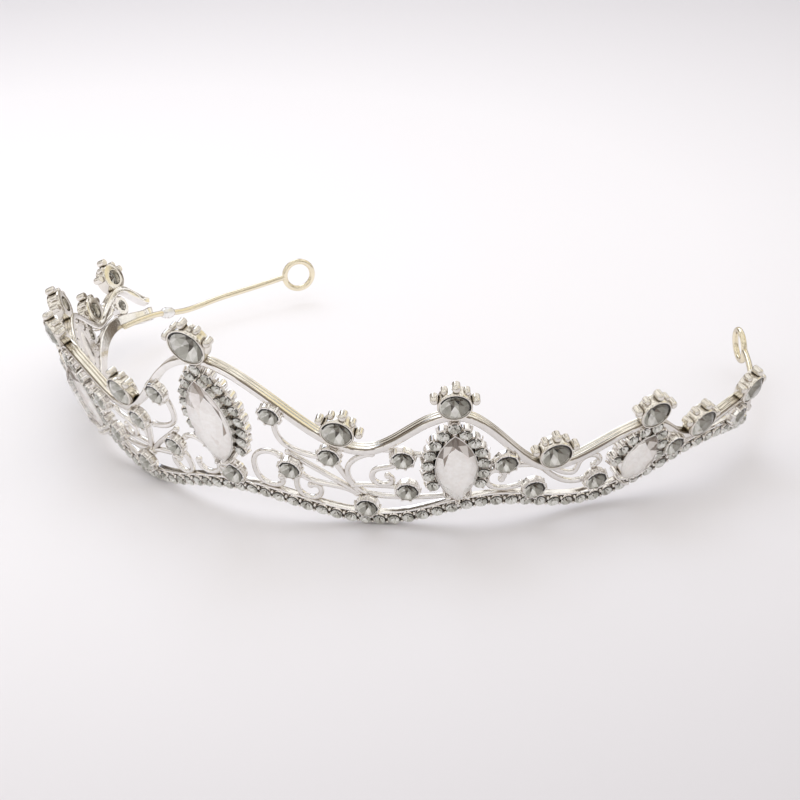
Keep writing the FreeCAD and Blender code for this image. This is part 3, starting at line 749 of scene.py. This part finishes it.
def halo_cup(build, place, inward):
    """One halo cup with three prongs, one of them on the side that inward points to."""
    radius = HALO_RADIUS
    profile = [
        (0.0, -PLATE_HALF), (0.86 * radius, -PLATE_HALF),
        (0.94 * radius, -0.5 * PLATE_HALF), (0.9 * radius, 0.4 * HALO_TOP),
        (radius, 0.75 * HALO_TOP), (radius, HALO_TOP + 0.24 * MM),
        (0.96 * radius, HALO_TOP + 0.34 * MM), (0.9 * radius, HALO_TOP + 0.26 * MM),
        (0.88 * radius, HALO_TOP + 0.05 * MM), (0.0, 0.4 * HALO_TOP),
    ]
    build.add(*lathe(profile, HALO_CORNERS), place)
    outward = math.atan2(-inward[1], -inward[0])
    angles = [outward + math.radians(spread) for spread in PRONG_ANGLES]
    spot = (PRONG_REACH * radius, 0.0, HALO_TOP + PRONG_RISE)
    add_posts(build, place, PRONG, PRONG_CORNERS, angles, spot, PRONG_LEAN)


def claw(build, place, angle, lift):
    """A pointed claw that rises past the gallery and bends over the navette's edge."""
    count = CLAW_CORNERS
    bend_from, bend_rate = CLAW_BEND
    corners = []
    faces = []
    for shift, height, radius in CLAW_STATIONS:
        tilt = math.radians(max(0.0, (height - bend_from) * bend_rate))
        raised = lift if height > 0.0 else 0.0
        for i in range(count):
            round_angle = 2.0 * math.pi * i / count
            across = radius * math.sin(round_angle)
            along = radius * math.cos(round_angle)
            x = shift + along * math.cos(tilt)
            z = height + along * math.sin(tilt)
            corners.append((x * MM, across * MM, z * MM + raised))
    last = (len(CLAW_STATIONS) - 1) * count
    for first in range(0, last, count):
        faces += ring_faces(first, first + count, count)
    faces.append(tuple(reversed(range(count))))
    faces.append(tuple(range(last, last + count)))
    build.add(corners, faces, place @ Matrix.Rotation(angle, 4, "Z"))


def make_navette_setting(ending, share):
    """Back frame, gallery, halo cups and claws of one navette."""
    place, half_long, half_wide = navette_frame("navette_stone_" + ending)
    halo = stones_of("halo_stones_" + ending, True)
    rest = min((place.inverted() @ spot.translation).z for spot, radius in halo)
    lift = HALO_REST - STONE_BACK - rest
    place = shifted(place, z=-STONE_BACK - lift)
    build = Build()

    def outline_of(grow):
        return navette_at(half_long, half_wide, grow)

    section = metres(FRAME_SECTION) + metres(GALLERY_SECTION, lift)
    oval_band(build, place, outline_of, section)
    inverse = place.inverted()
    for spot, radius in halo:
        local = inverse @ spot.translation
        inward = Vector((-local.x, HALO_PULL * local.y - local.y))
        halo_cup(build, shifted(place, local.x, local.y), inward)
    arc, centre = navette_arc(half_long, half_wide)
    low = share * math.acos(centre / arc)
    reach = arc + CLAW_RADIUS
    x = reach * math.cos(low) - centre
    y = -reach * math.sin(low)
    claw(build, shifted(place, x, y), -low, lift)
    claw(build, shifted(place, -x, y), math.pi + low, lift)
    tip = shifted(place, y=-half_long - CLAW_RADIUS - CLAW_GAP)
    claw(build, tip, -0.5 * math.pi, lift)
    node = "navette_setting_" + ending
    build.piece("navette_mount_" + ending, "silver_plate", [SILVER], [node])


def make_navettes():
    """The five navettes with their settings and halo stones."""
    for ending in ("centre", "inner_left", "inner_right", "outer_left", "outer_right"):
        central = ending == "centre"
        make_navette_setting(ending, CENTRE_CLAW_SHARE if central else CLAW_SHARE)
        make_round_stones("halo_cut_" + ending, "halo_stones_" + ending, True)
        make_navette_stone(ending, CENTRE_TONES if central else SIDE_TONES)


# ---- rails

# Outlines of the two rails in millimetres: (across and upwards, out of the front).
CREST_OUTLINE = (
    (-0.65, -0.85), (-0.50, -1.00), (0.45, -1.00), (0.60, -0.92), (0.66, -0.74),
    (0.62, -0.56), (0.52, -0.48), (0.62, -0.40), (0.66, -0.18), (0.62, 0.02),
    (0.52, 0.10), (0.62, 0.18), (0.66, 0.44), (0.64, 0.66), (0.54, 0.72),
    (0.54, 0.90), (0.46, 0.98), (0.0, 1.00), (-0.45, 1.00), (-0.62, 0.90),
)
CHANNEL_OUTLINE = (
    (-1.10, -0.65), (1.10, -0.65), (1.25, -0.50), (1.25, 0.30), (1.18, 0.55),
    (1.00, 0.65), (0.86, 0.55), (0.80, 0.36), (-0.80, 0.36), (-0.86, 0.55),
    (-1.00, 0.65), (-1.18, 0.55), (-1.25, 0.30), (-1.25, -0.50),
)
# Material of each side of the crest ribbon's outline: 1 along its top, 2 in the groove, which
# is painted dark as shade.
CREST_SLOTS = [0] * 2 + [1] * 11 + [2] * 2 + [0] * 5
CREST_SLICES = 300  # slices along each rail
CHANNEL_SLICES = 400
# Collar round a small stone of the base rail, in millimetres: (radius, height).
COLLAR = (
    (0.90, -0.45), (1.13, -0.45), (1.16, 0.20), (1.10, 0.34), (1.05, 0.30), (0.90, -0.05),
)
COLLAR_CORNERS = 24
BEAD_RADIUS = 0.3 * MM  # bead claws between the small stones
BEAD_SQUASH = 1.3  # height of a bead against its width
BEAD_CORNERS = 10
BEAD_APART = 0.62 * MM  # from the middle of the row to a bead
BEAD_RISE = 0.22 * MM  # height of a bead above the stones' backs


def make_crest():
    """The crest rail: a ribbon with a ridged top and a groove at its front edge, painted dark
    as shade.
    """
    build = Build()
    corners, faces = swept(rail_frames("crest_rail", CREST_SLICES), metres(CREST_OUTLINE))
    build.add(corners, faces, slot=(CREST_SLOTS * CREST_SLICES)[:len(faces)])
    finishes = [SILVER, CREST_SILVER, GROOVE_SHADE]
    build.piece("crest_ribbon", "silver_plate", finishes, ["crest_rail"])


def bearing_of(spot):
    """Plan direction of a (placement, radius) pair, 0 at the front."""
    where = spot[0].translation
    return math.atan2(where.x, -where.y)


def make_base_rail():
    """The base rail: a channel with a collar and bead claws for every small stone."""
    build = Build()
    build.add(*swept(rail_frames("base_rail", CHANNEL_SLICES), metres(CHANNEL_OUTLINE)))
    stones = sorted(stones_of("base_rail_stones", True), key=bearing_of)
    collar = closed_lathe(metres(COLLAR), COLLAR_CORNERS)
    bead = lathe(bead_profile(BEAD_RADIUS, BEAD_SQUASH), BEAD_CORNERS)
    for place, radius in stones:
        build.add(*collar, place)
    for (one, radius), (other, radius) in zip(stones, stones[1:]):
        middle = (one.translation + other.translation) / 2.0
        out = one.to_3x3().col[2] + other.to_3x3().col[2]
        run = other.translation - one.translation
        between = axes_frame(middle, out, out.cross(run))
        for side in (-1.0, 1.0):
            build.add(*bead, shifted(between, y=side * BEAD_APART, z=BEAD_RISE))
    build.piece("base_rail_channel", "silver_plate", [SILVER], ["base_rail"])
    make_round_stones("base_rail_cut", "base_rail_stones", True)


# ---- solder

SOLDER_RINGS = 18  # rings along a lump of solder
SOLDER_CORNERS = 24  # corners round one
SOLDER_TAPER = 0.7  # less than 1 keeps the lump full towards its ends
LUMP_FINE = 1.3  # fineness of its bumps
LUMP_LONG = 3.0  # how many times finer they are along it
LUMP_SHARE = 0.92  # its radius between bumps and dents, as a share of the sleeve's
LUMP_GAIN = 0.16  # what they add and take, the same way


def make_solder(side):
    """A lump of solder drawn along the wire where it leaves the frame."""
    node = "solder_sleeve_" + side
    points = welded(node)[0]
    middle = points.mean(axis=0)
    spread = np.linalg.eigh(np.cov((points - middle).T))[1]
    run = Vector(spread[:, -1])
    place = axes_frame(middle, run, UP)
    reach = float(np.abs((points - middle) @ np.array(run)).max())
    fat = float(np.linalg.norm(np.cross(points - middle, np.array(run)), axis=1).max())
    profile = [(0.0, -reach)]
    for k in range(1, SOLDER_RINGS):
        swing = math.pi * (k / SOLDER_RINGS - 0.5)
        profile.append((fat * math.cos(swing) ** SOLDER_TAPER, reach * math.sin(swing)))
    profile.append((0.0, reach))

    def lumpy(radius, angle, height):
        along = LUMP_LONG * math.asin(height / reach)
        where = Vector((math.cos(angle), math.sin(angle), along)) * LUMP_FINE
        return radius * (LUMP_SHARE + LUMP_GAIN * noise.noise(where))

    build = Build()
    build.add(*lathe(profile, SOLDER_CORNERS, lumpy), place)
    build.piece("solder_lump_" + side, "solder", [SOLDER], [node])


# ---- materials


def feed(tree, socket, value):
    """Link an input to a socket, or set it; a colour's alpha is 1."""
    if isinstance(value, bpy.types.NodeSocket):
        tree.links.new(value, socket)
    elif socket.type == "RGBA":
        socket.default_value = (*value, 1.0)
    else:
        socket.default_value = value


def fill(tree, node, inputs):
    """Feed the inputs of a node that are named, or numbered, in a table."""
    for name, value in inputs.items():
        feed(tree, node.inputs[name], value)


def add_node(tree, kind, inputs, **options):
    """A new shader node with its options set and its inputs filled."""
    node = tree.nodes.new("ShaderNode" + kind)
    for option, value in options.items():
        setattr(node, option, value)
    fill(tree, node, inputs)
    return node


def new_material(name):
    """A new material, its node tree and the one shader that the tree holds."""
    material = bpy.data.materials.new(name)
    material.use_nodes = True
    tree = material.node_tree
    tree.nodes.clear()
    shader = add_node(tree, "BsdfPrincipled", {})
    add_node(tree, "OutputMaterial", {"Surface": shader.outputs["BSDF"]})
    return material, tree, shader


def noise_of(tree, scale, detail, roughness=0.5):
    """Noise in the frame's own coordinates; scale is per metre."""
    where = add_node(tree, "TexCoord", {}).outputs["Object"]
    return add_node(tree, "TexNoise", {
        "Vector": where, "Scale": scale, "Detail": detail, "Roughness": roughness,
    }).outputs["Fac"]


def ramp_of(tree, factor, stops):
    """A colour ramp on a factor; stops hold (place, colour)."""
    ramp = add_node(tree, "ValToRGB", {"Fac": factor})
    elements = ramp.color_ramp.elements
    while len(elements) < len(stops):
        elements.new(0.5)
    for element, (place, colour) in zip(elements, stops):
        element.position = place
        element.color = (*colour, 1.0)
    return ramp.outputs["Color"]


def mixed(tree, factor, first, second, kind="MIX"):
    """Two colours blended by a factor; each of the three is a value or a socket."""
    mix = add_node(tree, "Mix", {}, data_type="RGBA", blend_type=kind)
    sockets = [socket for socket in mix.inputs if socket.enabled]
    for socket, value in zip(sockets, (factor, first, second)):
        feed(tree, socket, value)
    return [socket for socket in mix.outputs if socket.enabled][0]


def mapped(tree, value, low, high):
    """A 0 to 1 socket stretched to a range."""
    node = add_node(tree, "MapRange", {"Value": value, "To Min": low, "To Max": high})
    return node.outputs["Result"]


def bump_of(tree, height, strength, distance):
    """Surface direction shaped by a height socket."""
    bump = add_node(tree, "Bump", {
        "Height": height, "Strength": strength, "Distance": distance})
    return bump.outputs["Normal"]


def metal(name, clean, dark, roughness, wave, wave_bump, crevice):
    """Plated metal: darker in crevices, partly as oxide in the hollows and partly as painted
    shade, and darker seen edge on as painted shade; uneven gloss, a wavy skin.

    clean and dark are its colours in the open and in a crevice, roughness is a
    range, wave and wave_bump are the skin's waves per metre and their strength,
    and crevice is the reach within which a crevice's walls are felt.
    """
    material, tree, shader = new_material(name)
    patches = noise_of(tree, wave, 2.0)
    tint = ramp_of(tree, patches, [(0.35, [0.94 * c for c in clean]), (0.65, clean)])
    # Darker where other surfaces are near: partly oxide in the hollows, partly painted shade.
    near = add_node(tree, "AmbientOcclusion", {"Distance": crevice}, samples=CREVICE_SAMPLES)
    open_air = ramp_of(tree, near.outputs["AO"], CREVICE_STOPS)
    # Painted shade: darker where the surface is seen edge on.
    slant = add_node(tree, "LayerWeight", {})
    edge = ramp_of(tree, slant.outputs["Facing"], EDGE_ON_SHADE_STOPS)
    colour = mixed(tree, open_air, dark, tint)
    fine = noise_of(tree, 6.0 * wave, 3.0, 0.6)
    fill(tree, shader, {
        "Metallic": 1.0,
        "Base Color": mixed(tree, 1.0, colour, edge, "MULTIPLY"),
        "Roughness": mapped(tree, fine, *roughness),
        "Normal": bump_of(tree, patches, wave_bump, WAVE_HEIGHT),
    })
    return material


CREVICE_SAMPLES = 6
# Crevice darkening, partly oxide and partly painted shade.
CREVICE_STOPS = ((0.15, BLACK), (0.75, WHITE))
# Painted shade for metal seen edge on: none facing the view, brown-grey at grazing angles.
EDGE_ON_SHADE_STOPS = ((0.55, WHITE), (0.9, (0.42, 0.37, 0.31)))
WAVE_HEIGHT = 0.05 * MM


def tone_of(tree, stops):
    """A colour for each facet from its tone."""
    tone = add_node(tree, "Attribute", {}, attribute_name="tone")
    return ramp_of(tree, tone.outputs["Fac"], stops)


def crystal(name, light, dark, tint_scale):
    """Clear polished stone: sees straight through to its foil, with a glassy surface; facet by
    facet its colour is darkened by painted tones, as painted reflections.
    """
    material, tree, shader = new_material(name)
    cloud = noise_of(tree, tint_scale, 1.0)
    # Painted facet tones: each face is darkened or left light as a painted reflection.
    facet = tone_of(tree, [(0.1, dark), (0.9, light)])
    fill(tree, shader, {
        "Base Color": mixed(tree, mapped(tree, cloud, 0.0, 0.25), facet, light),
        "Transmission Weight": 1.0,
        "IOR": THROUGH_IOR,
        "Coat Weight": 1.0,
        "Coat IOR": GLASS_IOR,
        "Roughness": mapped(tree, cloud, 0.0, 0.03),
    })
    return material


def foil(name, metallic, painted_glow, stops):
    """Silvered backing behind a stone; each facet has a painted tone standing in for the light
    and dark it reflects, and a faint painted glow.
    """
    material, tree, shader = new_material(name)
    specks = noise_of(tree, SPECKS_PER_METRE, 2.0)
    cloudy = ramp_of(tree, specks, [(0.35, (0.93, 0.92, 0.91)), (0.65, WHITE)])
    colour = mixed(tree, 1.0, tone_of(tree, stops), cloudy, "MULTIPLY")
    fill(tree, shader, {
        "Metallic": metallic,
        "Base Color": colour,
        # Painted glow: each facet faintly gives off its own painted tone.
        "Emission Color": colour,
        "Emission Strength": painted_glow,
        "Roughness": mapped(tree, specks, 0.08, 0.2),
    })
    return material


GLASS_IOR = 1.56  # shine of a stone's surface
THROUGH_IOR = 1.06  # how little the view through it bends
SPECKS_PER_METRE = 1400.0


SILVER = metal(
    "silver_plate_look", (0.95, 0.93, 0.905), (0.46, 0.41, 0.35), (0.06, 0.18),
    900.0, 0.4, 0.55 * MM)
CAST_SILVER = metal(
    "cast_crown_look", (0.88, 0.845, 0.785), (0.24, 0.2, 0.15), (0.08, 0.2),
    900.0, 0.4, 0.8 * MM)
CREST_SILVER = metal(
    "crest_plate_look", (0.96, 0.925, 0.84), (0.45, 0.4, 0.31), (0.1, 0.24),
    500.0, 0.3, 0.5 * MM)
# Dark brown for the crest's groove: painted shade in the recess.
GROOVE_SHADE = metal(
    "groove_shade_look", (0.34, 0.29, 0.23), (0.12, 0.1, 0.08), (0.25, 0.45),
    900.0, 0.3, 0.5 * MM)
GOLD_WIRE = metal(
    "pale_gold_wire_look", (0.91, 0.83, 0.64), (0.46, 0.38, 0.24), (0.14, 0.3),
    500.0, 0.3, 0.8 * MM)
SOLDER = metal(
    "solder_look", (0.95, 0.95, 0.94), (0.5, 0.48, 0.46), (0.3, 0.5),
    700.0, 0.6, 0.8 * MM)
# Stone looks: the tone ramps paint each facet light or dark as painted reflections and painted
# shade, and each foil has a faint painted glow.
GREY_CRYSTAL = crystal("grey_crystal_look", WHITE, (0.32, 0.32, 0.29), 400.0)
CLEAR_CRYSTAL = crystal("clear_crystal_look", WHITE, (0.85, 0.83, 0.82), 300.0)
GREY_FOIL = foil("grey_foil_look", 0.25, 0.12, [
    (0.0, (0.02, 0.018, 0.015)), (0.2, (0.15, 0.12, 0.09)), (0.5, (0.38, 0.375, 0.33)),
    (0.75, (0.7, 0.7, 0.65)), (1.0, (1.0, 1.0, 0.99))])
CLEAR_FOIL = foil("clear_foil_look", 0.06, 0.1, [
    (0.0, (0.05, 0.04, 0.035)), (0.3, (0.36, 0.3, 0.25)), (0.6, (0.76, 0.73, 0.7)),
    (0.85, (1.0, 0.97, 0.96)), (1.0, (1.0, 0.99, 0.985))])

# ---- the tiara

make_crowns()
make_small_cups()
make_navettes()
make_crest()
make_base_rail()
for side in ("left", "right"):
    make_solder(side)
for name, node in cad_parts.items():
    if node.hide_render:
        continue
    finish = GOLD_WIRE if name.startswith("end_wire") else SILVER
    for slot in node.material_slots:
        slot.material = finish

# ---- floor, light and camera

FLOOR_HALF = 2.5  # half the floor's width, metres
# Painted light on the floor: colours fade from a bright spot to greyer ones further off,
# standing in for light that falls off.
PAINTED_BRIGHT_SPOT = (-0.116, 0.042, 0.0)
PAINTED_FADE_REACH = 0.3  # distance from the bright spot at which the fade ends, metres
PAINTED_FLOOR_FADE_STOPS = (
    (0.0, (0.95, 0.943, 0.97)), (0.5, (0.845, 0.835, 0.865)), (1.0, (0.61, 0.597, 0.625)))


def make_floor():
    """A large pale floor at height 0, painted a little greyer away from its bright spot, as
    painted light falloff.
    """
    material, tree, shader = new_material("floor_look")
    where = add_node(tree, "TexCoord", {}).outputs["Object"]
    away = add_node(tree, "VectorMath", {0: where, 1: PAINTED_BRIGHT_SPOT}, operation="DISTANCE")
    painted_fade = add_node(tree, "MapRange", {
        "Value": away.outputs["Value"], "From Max": PAINTED_FADE_REACH})
    # Painted light falloff across the floor.
    shade = ramp_of(tree, painted_fade.outputs["Result"], PAINTED_FLOOR_FADE_STOPS)
    patches = noise_of(tree, 3.0, 2.0)
    tint = ramp_of(tree, patches, [(0.3, (0.98, 0.98, 0.98)), (0.7, WHITE)])
    fill(tree, shader, {
        "Base Color": mixed(tree, 1.0, shade, tint, "MULTIPLY"),
        "Roughness": 0.7,
        "Specular IOR Level": 0.2,
        "Normal": bump_of(tree, noise_of(tree, 900.0, 3.0), 0.05, 0.05 * MM),
    })
    mesh = bpy.data.meshes.new("floor")
    corners = [(x * FLOOR_HALF, y * FLOOR_HALF, 0.0)
               for x, y in ((-1, -1), (1, -1), (1, 1), (-1, 1))]
    mesh.from_pydata(corners, [], [(0, 1, 2, 3)])
    mesh.materials.append(material)
    new_object("floor", mesh)


def make_light(name, place, target, size, power, colour):
    """A square soft light that faces a target."""
    lamp = bpy.data.lights.new(name, "AREA")
    lamp.size = size
    lamp.energy = power
    lamp.color = colour
    light = new_object(name, lamp)
    aim = (Vector(target) - Vector(place)).to_track_quat("-Z", "Y")
    light.matrix_world = Matrix.Translation(Vector(place)) @ aim.to_matrix().to_4x4()


def spot_of(tree, direction, towards, inner, outer):
    """How near a direction is to a point on the dome: 1 within inner degrees, 0 past outer."""
    middle = Vector(towards).normalized()
    near = add_node(tree, "VectorMath", {0: direction, 1: middle}, operation="DOT_PRODUCT")
    return add_node(tree, "MapRange", {
        "Value": near.outputs["Value"],
        "From Min": math.cos(math.radians(outer)),
        "From Max": math.cos(math.radians(inner)),
    }, interpolation_type="SMOOTHSTEP").outputs["Result"]


DOME_COLOUR = (1.0, 0.968, 0.93)
DOME_STRENGTH = 1.07
ROOM_STRENGTH = 1.15
ROOM_FINE = 6.0  # fineness of the room's light and dark patches
ROOM_STOPS = (
    (0.36, (0.07, 0.05, 0.035)), (0.42, (0.42, 0.37, 0.3)),
    (0.48, (0.9, 0.87, 0.82)), (0.62, (1.0, 0.99, 0.97)))
# The skyline: how much of its colour shows at each height over the horizon.
SKYLINE_STOPS = (
    (0.0, BLACK), (0.02, (0.8, 0.8, 0.8)), (0.09, (0.8, 0.8, 0.8)), (0.13, BLACK))
SKYLINE_COLOUR = (0.16, 0.13, 0.1)
# Shapes in the room, seen only in reflections: direction, inner and outer radius in
# degrees, and colour.
ROOM_SHAPES = (
    ((-0.86, 0.26, 0.42), 12.0, 18.0, (0.06, 0.045, 0.03)),
    ((-0.46, -0.06, 0.88), 6.0, 11.0, (0.1, 0.08, 0.06)),
    ((0.58, 0.65, 0.49), 8.0, 20.0, (0.8, 0.72, 0.5)),
    ((0.55, -0.8, 0.2), 7.0, 12.0, (0.12, 0.1, 0.09)),
    ((0.9, 0.1, 0.4), 5.0, 9.0, (0.2, 0.17, 0.13)),
)


def make_world():
    """A white dome; reflections see a patchy room with a dark skyline and a few shapes."""
    world = bpy.data.worlds.new("soft_dome")
    bpy.context.scene.world = world
    world.use_nodes = True
    tree = world.node_tree
    tree.nodes.clear()
    direction = add_node(tree, "TexCoord", {}).outputs["Generated"]
    texture = add_node(tree, "TexNoise", {
        "Vector": direction, "Scale": ROOM_FINE, "Detail": 1.0})
    colour = ramp_of(tree, texture.outputs["Fac"], ROOM_STOPS)
    parts = add_node(tree, "SeparateXYZ", {"Vector": direction})
    skyline = ramp_of(tree, parts.outputs["Z"], SKYLINE_STOPS)
    colour = mixed(tree, skyline, colour, SKYLINE_COLOUR)
    for towards, inner, outer, shade in ROOM_SHAPES:
        spot = spot_of(tree, direction, towards, inner, outer)
        colour = mixed(tree, spot, colour, shade)
    plain = add_node(tree, "Background", {"Color": DOME_COLOUR, "Strength": DOME_STRENGTH})
    room = add_node(tree, "Background", {"Color": colour, "Strength": ROOM_STRENGTH})
    path = add_node(tree, "LightPath", {}).outputs
    shiny = add_node(tree, "Math", {
        0: path["Is Glossy Ray"], 1: path["Is Transmission Ray"]}, operation="MAXIMUM")
    mix = add_node(tree, "MixShader", {
        "Fac": shiny.outputs["Value"],
        1: plain.outputs["Background"], 2: room.outputs["Background"]})
    add_node(tree, "OutputWorld", {"Surface": mix.outputs["Shader"]})


CAMERA_AZIMUTH = 33.1  # degrees round from the front, towards +X
CAMERA_ELEVATION = 22.1
CAMERA_ROLL = -3.4
CAMERA_DISTANCE = 0.489  # from its target, metres
CAMERA_TARGET = (0.011, -0.0061, 0.01)
CAMERA_LENS = 121.8  # millimetres, on a sensor 36 mm wide


def make_camera():
    """The camera, in front of the tiara, above it and to its right."""
    azimuth = math.radians(CAMERA_AZIMUTH)
    elevation = math.radians(CAMERA_ELEVATION)
    roll = math.radians(CAMERA_ROLL)
    back = Vector((
        math.sin(azimuth) * math.cos(elevation),
        -math.cos(azimuth) * math.cos(elevation), math.sin(elevation)))
    level = Vector((math.cos(azimuth), math.sin(azimuth), 0.0))
    upward = back.cross(level)
    side = level * math.cos(roll) + upward * math.sin(roll)
    top = upward * math.cos(roll) - level * math.sin(roll)
    data = bpy.data.cameras.new("view")
    data.sensor_width = 36.0
    data.lens = CAMERA_LENS
    data.clip_start = 0.01
    camera = new_object("view", data)
    spot = Vector(CAMERA_TARGET) + back * CAMERA_DISTANCE
    camera.matrix_world = placement(spot, side, top, back)
    bpy.context.scene.camera = camera


make_floor()
make_world()
make_light(
    "window", place=(-0.9, 0.7, 1.2), target=(0.0, 0.0, 0.0), size=1.0, power=5.1,
    colour=(0.75, 0.83, 1.0))
make_camera()
bpy.context.scene.view_settings.view_transform = "Standard"
